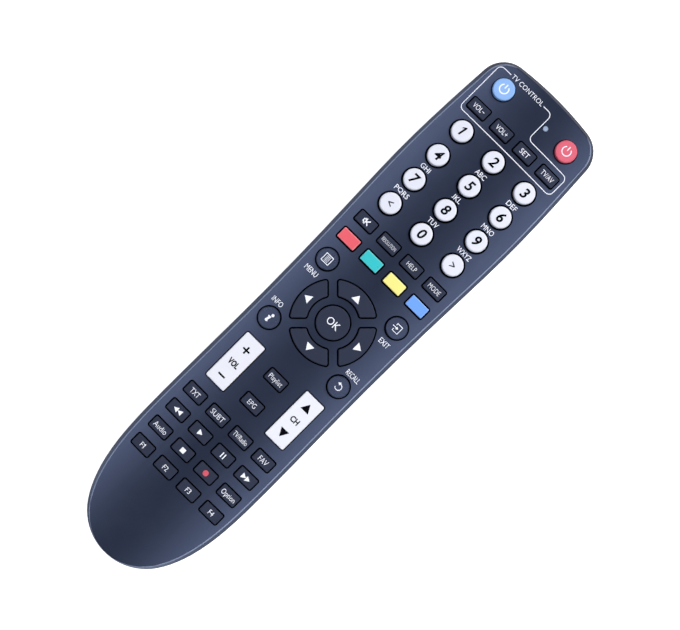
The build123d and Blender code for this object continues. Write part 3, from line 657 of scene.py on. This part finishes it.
def ink(name, colour, under, sheen=0.15):
    """An ink; under is the colour of the plastic that shows through its thin places."""
    tree = new_material(name)
    skin = use_group(tree, grain_group, Grain_Size=0.00015, Mottle_Size=0.002)
    thin = math(tree, "MULTIPLY_ADD", skin["Height"], HOLES_GAIN, HOLES_SHIFT, clamp=True)
    spread = mix(tree, skin["Mottle"], shade(colour, 0.94), shade(colour, 1.04))
    bump = add(tree, "ShaderNodeBump", Strength=1.0, Distance=0.000004, Height=skin["Height"])
    output(tree, Base_Color=mix(tree, thin, spread, (*under, 1)), Roughness=0.6, Specular_IOR_Level=sheen,
           Normal=bump.outputs[0])
    return finishes[name]


DARK_PLASTIC = (0.024, 0.031, 0.056)
WHITE_PLASTIC = (0.80, 0.80, 0.90)
white_ink = ink("white_ink", (0.86, 0.87, 0.92), DARK_PLASTIC)
black_ink = ink("black_ink", (0.002, 0.002, 0.004), WHITE_PLASTIC, sheen=0.03)
grey_ink = ink("grey_ink", (0.022, 0.026, 0.040), WHITE_PLASTIC)
red_ink = ink("red_ink", (0.62, 0.10, 0.13), DARK_PLASTIC)
print("inks:", [name for name in finishes if name.endswith("_ink")])


# %% [markdown]
# ## Marks drawn as outlines
#
# Arrows, bars and rings are outlines in the plane, in millimetres about the middle of their key.
# Each function returns a list of closed loops, and a loop inside another one is a hole. Blender
# fills such loops when they are the splines of one flat curve, just as it fills the letters of a
# text.

# %% Boxes, triangles and the digit 1
def numeral_one(height, line, lean=0.0, x=0.0):
    """A 1 with a flag, which Blender's font draws as a plain bar; line is the width of its stem."""
    top, side, flag = height / 2, line / 2, 0.19 * height
    upright = [(-side, -top), (side, -top), (side, top), (-side / 3, top), (-side - flag, top - flag),
               (-side - flag, top - 1.8 * flag), (-side, top - 1.05 * flag)]
    return [[(x + px + lean * py, py) for px, py in upright]]


def box_mark(width, height, x=0.0, y=0.0):
    """A box about the point x, y."""
    return [[(x + i * width / 2, y + j * height / 2) for i, j in ((-1, -1), (1, -1), (1, 1), (-1, 1))]]


def triangle(base, height, turn=0.0, x=0.0, y=0.0):
    """A triangle that points up, or is turned by a number of degrees."""
    points = ((-base / 2, -height / 2), (base / 2, -height / 2), (0, height / 2))
    c, s = cos(radians(turn)), sin(radians(turn))
    return [[(x + c * px - s * py, y + s * px + c * py) for px, py in points]]


print("a 1 has", len(numeral_one(3.3, 0.66)[0]), "corners")


# %% Rings, crosses and brackets
def arc(radius, start, end, x=0.0, y=0.0, steps=24):
    """Points along an arc, from one angle to another in degrees."""
    angles = [radians(start + (end - start) * k / steps) for k in range(steps + 1)]
    return [(x + radius * cos(a), y + radius * sin(a)) for a in angles]


def band(radius, width, start, end, x=0.0, y=0.0):
    """Part of a ring of a given width."""
    return [arc(radius + width / 2, start, end, x, y) + arc(radius - width / 2, end, start, x, y)]


def disc(radius, x=0.0, y=0.0):
    """A full disc about the point x, y."""
    return [arc(radius, 0, 345, x, y, 23)]


def cross(size, width, turn=0.0, x=0.0, y=0.0):
    """A plus sign, or a saltire when it is turned by 45 degrees."""
    a, b = size / 2, width / 2
    quarter = [(a, -b), (a, b), (b, b)]
    points = []
    for k in range(4):
        c, s = cos(radians(turn + 90 * k)), sin(radians(turn + 90 * k))
        points += [(x + c * px - s * py, y + s * px + c * py) for px, py in quarter]
    return [points]


def chevron(side, x=0.0):
    """A thin angle bracket that points to one side."""
    outer = [(-0.85 * side, 1.02), (0.85 * side, 0.16), (0.85 * side, -0.16), (-0.85 * side, -1.02)]
    inner = [(-0.85 * side, -0.60), (0.30 * side, 0.0), (-0.85 * side, 0.60)]
    return [[(x + px, py) for px, py in outer + inner]]


print("a power mark has", len(band(1.6, 0.42, 125, 415)[0]), "points in its ring")


# %% [markdown]
# ## From an outline to a flat mesh
#
# A mark becomes a curve, or a text object for letters, with a small extrusion: Blender fills it and
# closes its sides. Its own font has no bold or italic, but a curve's offset thickens the strokes and
# its shear leans them. Blender leaves the corners of the fill and of the sides apart, so they are
# merged.

# %% Fill a flat mark
def closed(mesh):
    """The mesh with its doubled corners merged, so that it is one closed skin."""
    work = bmesh.new()
    work.from_mesh(mesh)
    bmesh.ops.remove_doubles(work, verts=work.verts, dist=1e-7)
    bmesh.ops.recalc_face_normals(work, faces=work.faces)
    work.to_mesh(mesh)
    work.free()
    return mesh


def flat_mesh(curve):
    """Corners and faces of a filled curve, 2 units thick."""
    curve.extrude = 1.0
    curve.fill_mode = "BOTH"
    holder = bpy.data.objects.new("mark", curve)
    mesh = bpy.data.meshes.new_from_object(holder)
    bpy.data.objects.remove(holder)
    bpy.data.curves.remove(curve)
    return closed(mesh)


def mark_mesh(loops):
    """A mark that is filled between its loops."""
    curve = bpy.data.curves.new("mark", "CURVE")
    curve.dimensions = "2D"
    for loop in loops:
        spline = curve.splines.new("POLY")
        spline.points.add(len(loop) - 1)
        for point, (x, y) in zip(spline.points, loop):
            point.co = (x, y, 0, 1)
        spline.use_cyclic_u = True
    return flat_mesh(curve)


print("a mark is drawn 2 units thick, and gets its real thickness on the surface")


# %% [markdown]
# ## Set a word
#
# The height of a word is that of its capitals, as in the trade. A letter such as Q or J can hang
# below the line. The print on this remote keeps such letters on the line, so `seated` squeezes them.

# %% Set a word
CAPITAL_SHARE = 0.69
CURVE_STEPS = 3


def word_mesh(text, capital, width=None, bold=0.0, lean=0.0, x=0.0, y=0.0):
    """Letters with capitals of a given height, stretched to a width, about the point x, y."""
    curve = bpy.data.curves.new("word", "FONT")
    curve.body = text
    curve.size = capital / CAPITAL_SHARE
    curve.offset = bold
    curve.shear = lean
    curve.resolution_u = CURVE_STEPS
    mesh = flat_mesh(curve)
    low = min(v.co.x for v in mesh.vertices)
    high = max(v.co.x for v in mesh.vertices)
    stretch = width / (high - low) if width else 1.0
    for v in mesh.vertices:
        v.co.x = x + (v.co.x - (low + high) / 2) * stretch
        v.co.y = y + v.co.y - capital / 2
    return mesh


print("capitals are", CAPITAL_SHARE, "of the font's size")


# %% Keep letters on the line
def letters_of(mesh):
    """The corners of each separate letter of a word."""
    work = bmesh.new()
    work.from_mesh(mesh)
    work.verts.index_update()
    left = set(work.verts)
    letters = []
    while left:
        reached, edge = set(), [left.pop()]
        while edge:
            corner = edge.pop()
            reached.add(corner)
            for near in corner.link_edges:
                other = near.other_vert(corner)
                if other in left:
                    left.discard(other)
                    edge.append(other)
        letters.append([corner.index for corner in reached])
    work.free()
    return letters


def seated(mesh, foot):
    """The word with each letter that hangs below the line squeezed to stand on it."""
    for letter in letters_of(mesh):
        low = min(mesh.vertices[k].co.y for k in letter)
        high = max(mesh.vertices[k].co.y for k in letter)
        if low < foot:
            for k in letter:
                v = mesh.vertices[k]
                v.co.y = foot + (v.co.y - low) * (high - foot) / (high - low)
    return mesh


print("helpers: letters_of, seated")


# %% [markdown]
# ## Lay ink on a surface
#
# A ray comes straight down on the solid at each corner of the flat mesh. The upper corners go a
# little above the point that it hits and the lower ones a little below, so the layer follows the
# crown of the face and can't flicker against it. Then the ink rides on its key.

# %% Lay ink on a surface
INK_RISE_MM = 0.03
INK_ROOT_MM = 0.04
SURFACES = {}


def surface_of(node):
    """A tree of the node's faces that answers where a ray hits it."""
    if node not in SURFACES:
        mesh = nodes[node].data
        SURFACES[node] = BVHTree.FromPolygons([v.co for v in mesh.vertices],
                                              [p.vertices for p in mesh.polygons])
    return SURFACES[node]


def print_on(name, node, meshes, at, paint, body=None):
    """Lays meshes in millimetres about a point on a node's upper surface, as one piece of ink."""
    surface = surface_of(node)
    corners, faces = [], []
    for mesh in meshes:
        first = len(corners)
        for v in mesh.vertices:
            x, y = (at[0] + v.co.x) * MM, (at[1] + v.co.y) * MM
            hit = surface.ray_cast(Vector((x, y, 0.1)), Vector((0, 0, -1)))[0]
            if hit is None:
                raise SystemExit(f"{name} hangs over the edge of {node} at {x / MM:.2f}, {y / MM:.2f} mm")
            step = INK_RISE_MM if v.co.z > 0 else -INK_ROOT_MM
            corners.append((x, y, hit.z + step * MM))
        faces += [[first + k for k in p.vertices] for p in mesh.polygons]
        bpy.data.meshes.remove(mesh)
    layer = bpy.data.meshes.new(name)
    layer.from_pydata(corners, [], faces)
    layer.materials.append(paint)
    piece = link(closed(layer), name)
    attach(piece, body or node)


print("ink stands", INK_RISE_MM, "mm above the plastic")


# %% One legend for one key
def word_on_key(key, text, capital, width, paint=white_ink, **style):
    """A word about the middle of one key."""
    print_on(f"legend_{key}", key, [word_mesh(text, capital, width, **style)], middle(key), paint)


def marks_on_key(key, marks, paint=white_ink, at=(0.0, 0.0)):
    """Marks on one key; each is a list of loops that Blender fills on its own."""
    x, y = middle(key)
    print_on(f"legend_{key}", key, [mark_mesh(loops) for loops in marks], (x + at[0], y + at[1]), paint)


print("helpers: word_on_key, marks_on_key")


# %% [markdown]
# ## Power keys and digits
#
# The power sign is the same on both keys: most of a ring, open at the top, with a bar in the gap.
# The digits are black, heavy and slanted. The two keys beside the zero carry a thin bracket each.

# %% Power keys and digits
for key, line in (("tv_power_key", 0.42), ("main_power_key", 0.32)):
    marks_on_key(key, [band(1.52, line, 128, 412), box_mark(line, 1.6, 0.0, 1.05)], at=(0.0, 0.12))

DIGIT_HEIGHT = 3.3
marks_on_key("key_1", [numeral_one(DIGIT_HEIGHT, 0.66, lean=0.2)], black_ink, at=(0.12, 0.12))
for digit in (0, 2, 3, 4, 5, 6, 7, 8, 9):
    word_on_key(f"key_{digit}", str(digit), DIGIT_HEIGHT, None, black_ink, bold=0.115, lean=0.15,
                x=0.08, y=0.12)
marks_on_key("previous_key", [chevron(-1)], grey_ink)
marks_on_key("next_key", [chevron(1)], grey_ink)
print("digit height:", DIGIT_HEIGHT, "mm")


# %% [markdown]
# ## Rows of small keys
#
# Each small key carries one plain function word or sign in white. A word is as wide as its key
# allows, so long words are set narrower, as they are on the real keys. The four keys of the first
# and of the last row share one solid node each, so their legends are placed by column.

# %% Rows of small keys
SMALL_CAPITAL = 1.7
THIN = -0.012


def row_words(node, places, words, widths, signs=()):
    """One word on each key of a row that shares a node, and signs that are given as outlines."""
    meshes = [word_mesh(text, SMALL_CAPITAL, width, THIN, x=x)
              for x, text, width in zip(places, words, widths)]
    meshes += [mark_mesh(loops) for loops in signs]
    print_on(f"legend_{node}", node, meshes, (0.0, middle(node)[1]), white_ink)


row_words("tv_setup_keys", COLUMNS, ("VOL−", "VOL+", "SET", "TV/AV"), (4.6, 4.7, 3.5, 4.9))
letter_at = (COLUMNS[0] - 0.45, *COLUMNS[1:])
row_words("function_keys", letter_at, ("F", "F2", "F3", "F4"), (0.82, 1.8, 1.75, 1.85),
          [numeral_one(SMALL_CAPITAL, 0.25, x=COLUMNS[0] + 0.55)])

KEY_WORDS = {
    "resolution_key": ("RESOLUTION", 1.3, 5.8, -0.025),
    "help_key": ("HELP", 1.6, 3.8, -0.027),
    "mode_key": ("MODE", 1.65, 4.75, -0.025),
    "playlist_key": ("Playlist", 1.75, 5.3, -0.025),
    "guide_key": ("EPG", 1.75, 3.2, -0.026),
    "teletext_key": ("TXT", 1.8, 3.65, THIN),
    "subtitle_key": ("SUBT", 1.85, 5.3, -0.025),
    "tv_radio_key": ("TV/Radio", 1.7, 5.75, -0.018),
    "favourites_key": ("FAV", 1.85, 3.5, -0.02),
    "audio_key": ("Audio", 1.8, 5.2, THIN),
    "options_key": ("Option", 1.8, 5.5, -0.015),
}
for key, (text, capital, width, bold) in KEY_WORDS.items():
    word_on_key(key, text, capital, width, bold=bold)

SPEAKER = [[(-1.22, -0.60), (-0.80, -0.60), (-0.05, -1.20), (-0.05, 1.20), (-0.80, 0.60), (-1.22, 0.60)],
           [(-0.90, -0.26), (-0.66, -0.26), (-0.35, -0.55), (-0.35, 0.55), (-0.66, 0.26), (-0.90, 0.26)]]
marks_on_key("mute_key", [SPEAKER, cross(2.6, 0.36, 45, 0.24)])
print("words on small keys:", len(KEY_WORDS) + 8)


# %% [markdown]
# ## Transport signs
#
# Play, pause, stop, record and the two winding signs are the standard ones. The record dot is red.

# %% Transport signs
WIND = 1.65
marks_on_key("rewind_key", [triangle(1.9, WIND, 90, -WIND / 2), triangle(1.9, WIND, 90, WIND / 2)])
marks_on_key("fast_forward_key", [triangle(1.9, WIND, 270, -WIND / 2), triangle(1.9, WIND, 270, WIND / 2)])
marks_on_key("play_key", [triangle(2.0, 1.7, 270)])
marks_on_key("pause_key", [box_mark(0.36, 1.95, x) for x in (-0.5, 0.5)])
marks_on_key("stop_key", [box_mark(1.7, 1.65)])
marks_on_key("record_key", [disc(0.98)], red_ink)
print("winding triangle:", WIND, "mm long")


# %% [markdown]
# ## The ring and the round keys
#
# The four arrow keys carry triangles at the middle of the ring's width. The round keys beside the
# ring have an outlined sign each: a page for the menu, an arrow into a frame for leaving it, a
# slanted i, and a turning arrow for the last channel.

# %% The ring and the round keys
RING_MARK_RADIUS, SIDE_MARK_RADIUS = 11.1, 11.57
ring_x, ring_y = middle("select_key")
for key, turn in (("up_key", 0), ("left_key", 90), ("down_key", 180), ("right_key", 270)):
    x = ring_x - SIDE_MARK_RADIUS * sin(radians(turn))
    y = ring_y + RING_MARK_RADIUS * cos(radians(turn))
    print_on(f"legend_{key}", key, [mark_mesh(triangle(3.05, 2.35, turn))], (x, y), white_ink)
word_on_key("select_key", "OK", 2.5, 4.75, x=0.2)

page = box_mark(3.15, 3.10) + box_mark(2.63, 2.58)
page_lines = [box_mark(1.6, 0.16, y=0.45 * row) for row in range(-2, 3)]
marks_on_key("menu_key", [page, *page_lines])

open_frame = [[(-0.93, 0.60), (-0.93, 1.45), (1.42, 1.45), (1.42, -1.45), (-0.93, -1.45), (-0.93, -0.60),
               (-0.71, -0.60), (-0.71, -1.23), (1.20, -1.23), (1.20, 1.23), (-0.71, 1.23), (-0.71, 0.60)]]
into_frame = [[(-1.75, -0.12), (-0.22, -0.12), (-0.22, -0.52), (0.55, 0.0), (-0.22, 0.52), (-0.22, 0.12),
               (-1.75, 0.12)]]
marks_on_key("exit_key", [open_frame, into_frame])

i_stem = [[(-0.70, 0.66), (0.50, 0.66), (0.08, -0.98), (0.36, -0.92), (0.44, -1.18), (-0.10, -1.50),
           (-0.62, -1.40), (-0.72, -1.02), (-0.38, 0.28), (-0.72, 0.32)]]
marks_on_key("info_key", [i_stem, disc(0.52, 0.46, 1.36)])
marks_on_key("recall_key", [band(1.10, 0.26, -150, 100), triangle(1.2, 0.9, 90, -0.6, 1.10)])
print("ring marks at radius", RING_MARK_RADIUS, "and", SIDE_MARK_RADIUS, "mm")


# %% [markdown]
# ## The two rockers
#
# Volume and channel: signs at both ends for what that end does, and the word between them.

# %% The two rockers
volume_marks = [mark_mesh(cross(2.75, 0.6, y=5.0)), mark_mesh(box_mark(2.75, 0.6, y=-6.2)),
                word_mesh("VOL", 1.9, 4.0, 0.11, y=-0.75)]
print_on("legend_volume_rocker", "volume_rocker", volume_marks, middle("volume_rocker"), black_ink)
channel_marks = [mark_mesh(triangle(3.3, 2.9, y=5.8)), mark_mesh(triangle(3.3, 2.9, 180, y=-5.6)),
                 word_mesh("CH", 1.85, 3.15, 0.09, y=0.1)]
print_on("legend_channel_rocker", "channel_rocker", channel_marks, middle("channel_rocker"), black_ink)
print("rocker legends: 2")


# %% [markdown]
# ## Letters on the case
#
# Below eight of the digit keys stand their letters, the four round keys have their names, and the
# keys that work the television have a title. A label's place is written as its distance from the
# middle of its key.

# %% Letters on the case
LETTERS_BELOW_KEY = 5.55
LETTER_CAPITAL = 1.75
LABEL_CAPITAL = 1.8
LETTERS = {"key_2": ("ABC", 4.1), "key_3": ("DEF", 4.0), "key_4": ("GHI", 3.7), "key_5": ("JKL", 3.4),
           "key_6": ("MNO", 4.8), "key_7": ("PQRS", 5.7), "key_8": ("TUV", 4.0), "key_9": ("WXYZ", 5.7)}
LABELS = {"menu_key": ("MENU", 5.0, -1.1, -6.2), "exit_key": ("EXIT", 3.95, 0.55, -6.2),
          "info_key": ("INFO", 4.15, -1.7, 5.6), "recall_key": ("RECALL", 5.35, 1.05, 5.6)}
labels = []
for key, (text, width) in LETTERS.items():
    x, y = middle(key)
    word = word_mesh(text, LETTER_CAPITAL, width, x=x, y=y - LETTERS_BELOW_KEY)
    labels.append(seated(word, y - LETTERS_BELOW_KEY - LETTER_CAPITAL / 2))
for key, (text, width, right_by, up_by) in LABELS.items():
    x, y = middle(key)
    labels.append(word_mesh(text, LABEL_CAPITAL, width, x=x + right_by, y=y + up_by))

TITLE_SPAN = (-15.8, -1.2)
FRAME_TOP = middle("main_power_key")[1] + 5.3
labels.append(word_mesh("TV CONTROL", 1.6, 13.4, THIN, x=sum(TITLE_SPAN) / 2, y=FRAME_TOP + 0.15))
print("words on the case:", len(labels))
print_on("case_lettering", "top_case", labels, (0.0, 0.0), white_ink, "case")


# %% [markdown]
# ## The line round the television keys
#
# A thin line frames the keys that work the television, with a step around the main power key, and
# opens for its title. It is drawn as a path of short stretches, so that it bends over the crown.

# %% A ribbon along a rounded path
ARC_STEPS = 8


def rounded_path(corners, radius, step=1.5):
    """Points along a path through corners that are each rounded by an arc."""
    points = [Vector(corners[0])]
    for before, corner, after in zip(corners, corners[1:], corners[2:]):
        corner = Vector(corner)
        inward = (Vector(before) - corner).normalized()
        outward = (Vector(after) - corner).normalized()
        centre = corner + (inward + outward) * radius
        start = corner + inward * radius - centre
        turn = start.angle_signed(corner + outward * radius - centre)
        points += [centre + Matrix.Rotation(-turn * k / ARC_STEPS, 2) @ start for k in range(ARC_STEPS + 1)]
    points.append(Vector(corners[-1]))
    fine = []
    for first, second in zip(points, points[1:]):
        count = max(1, round((second - first).length / step))
        fine += [first.lerp(second, k / count) for k in range(count)]
    return fine + [points[-1]]


def ribbon(points, width):
    """A closed solid of a given width along a path, as corners and faces 2 units thick."""
    corners, faces = [], []
    for k, point in enumerate(points):
        ahead = points[min(k + 1, len(points) - 1)] - points[max(k - 1, 0)]
        across = Vector((-ahead.y, ahead.x)).normalized() * width / 2
        for side, z in ((-1, -1), (1, -1), (1, 1), (-1, 1)):
            corners.append((*(point + side * across), z))
    for k in range(len(points) - 1):
        a, b = 4 * k, 4 * k + 4
        faces += [(a + i, a + (i + 1) % 4, b + (i + 1) % 4, b + i) for i in range(4)]
    last = 4 * (len(points) - 1)
    faces += [(3, 2, 1, 0), (last, last + 1, last + 2, last + 3)]
    mesh = bpy.data.meshes.new("ribbon")
    mesh.from_pydata(corners, [], faces)
    return mesh


print("helpers: rounded_path, ribbon")


# %% The line round the television keys
LINE_WIDTH = 0.25
FRAME_HALF_WIDTH = 20.45
CORNER_RADIUS = 1.7
setup_y = middle("tv_setup_keys")[1]
FRAME_STEP = (2.65, setup_y + 4.15)
FRAME_BOTTOM = setup_y - 3.9
frame_corners = [(TITLE_SPAN[0], FRAME_TOP), (-FRAME_HALF_WIDTH, FRAME_TOP),
                 (-FRAME_HALF_WIDTH, FRAME_BOTTOM), (FRAME_HALF_WIDTH, FRAME_BOTTOM),
                 (FRAME_HALF_WIDTH, FRAME_STEP[1]), FRAME_STEP,
                 (FRAME_STEP[0], FRAME_TOP), (TITLE_SPAN[1], FRAME_TOP)]
line = rounded_path(frame_corners, CORNER_RADIUS)
print_on("tv_frame_line", "top_case", [ribbon(line, LINE_WIDTH)], (0.0, 0.0), white_ink, "case")
print("frame line:", len(line), "points")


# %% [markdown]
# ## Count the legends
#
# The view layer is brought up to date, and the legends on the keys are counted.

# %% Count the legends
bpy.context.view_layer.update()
legends = [piece for piece in scene.objects if piece.name.startswith("legend_")]
print("legends:", len(legends))
